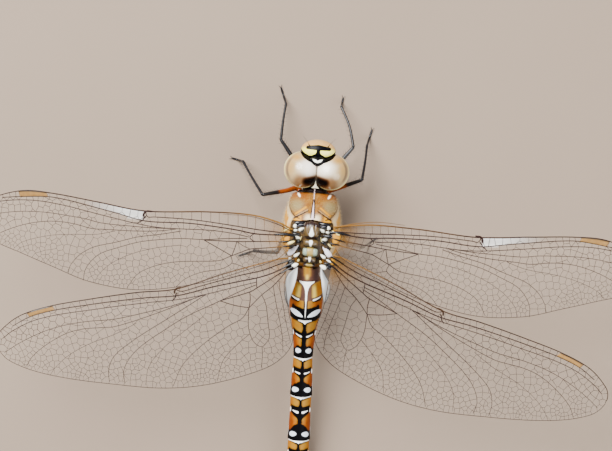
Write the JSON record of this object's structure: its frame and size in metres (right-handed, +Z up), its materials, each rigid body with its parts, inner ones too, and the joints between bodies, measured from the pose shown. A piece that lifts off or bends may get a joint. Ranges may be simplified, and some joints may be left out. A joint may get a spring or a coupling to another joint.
{
  "type": "dragonfly",
  "caption": "Life-size dragonfly model, a hawker at rest with wings spread flat, standing on its feet and the tip of its banded tail.",
  "frame": {"origin": "on the floor, under the middle of the model's box", "axes": "+Z up; head faces -Y; +X to the animal's left, across the spread wings"},
  "size_m": [0.0854, 0.071, 0.0147],
  "materials": {
    "eye": "satin, faceted, pale beige",
    "face": "satin, cream yellow with black marks",
    "jaw": "satin",
    "head_shell": "satin, cream rim",
    "thorax_shell": "satin, amber brown, finely haired",
    "back_plate": "satin, olive tan with white drops",
    "banded_shell": "satin, amber and black with white spots",
    "tail_tip": "satin, dark brown",
    "wing_membrane": "clear, dark veined",
    "leg_shell": "satin black, orange towards the body",
    "feeler": "satin"
  },
  "bodies": {
    "root": {"abdomen_segment_1": "banded_shell", "abdomen_segment_10": "banded_shell", "abdomen_segment_2": "banded_shell", "abdomen_segment_3": "banded_shell", "abdomen_segment_4": "banded_shell", "abdomen_segment_5": "banded_shell", "abdomen_segment_6": "banded_shell", "abdomen_segment_7": "banded_shell", "abdomen_segment_8": "banded_shell", "abdomen_segment_9": "banded_shell", "antenna_left": "feeler", "antenna_right": "feeler", "cercus_left": "tail_tip", "cercus_right": "tail_tip", "clypeus": "face", "eye_left": "eye", "eye_right": "eye", "femur_front_left": "leg_shell", "femur_front_right": "leg_shell", "femur_hind_left": "leg_shell", "femur_hind_right": "leg_shell", "femur_middle_left": "leg_shell", "femur_middle_right": "leg_shell", "forewing_left": "wing_membrane", "forewing_right": "wing_membrane", "frons": "face", "head": "head_shell", "hindwing_left": "wing_membrane", "hindwing_right": "wing_membrane", "labium": "jaw", "labrum": "face", "lower_appendage": "tail_tip", "mandible_left": "jaw", "mandible_right": "jaw", "mesonotum": "back_plate", "metanotum": "back_plate", "neck": "head_shell", "prothorax": "thorax_shell", "tarsus_front_left": "leg_shell", "tarsus_front_right": "leg_shell", "tarsus_hind_left": "leg_shell", "tarsus_hind_right": "leg_shell", "tarsus_middle_left": "leg_shell", "tarsus_middle_right": "leg_shell", "thorax": "thorax_shell", "tibia_front_left": "leg_shell", "tibia_front_right": "leg_shell", "tibia_hind_left": "leg_shell", "tibia_hind_right": "leg_shell", "tibia_middle_left": "leg_shell", "tibia_middle_right": "leg_shell", "vertex": "face"}
  },
  "joints": []
}
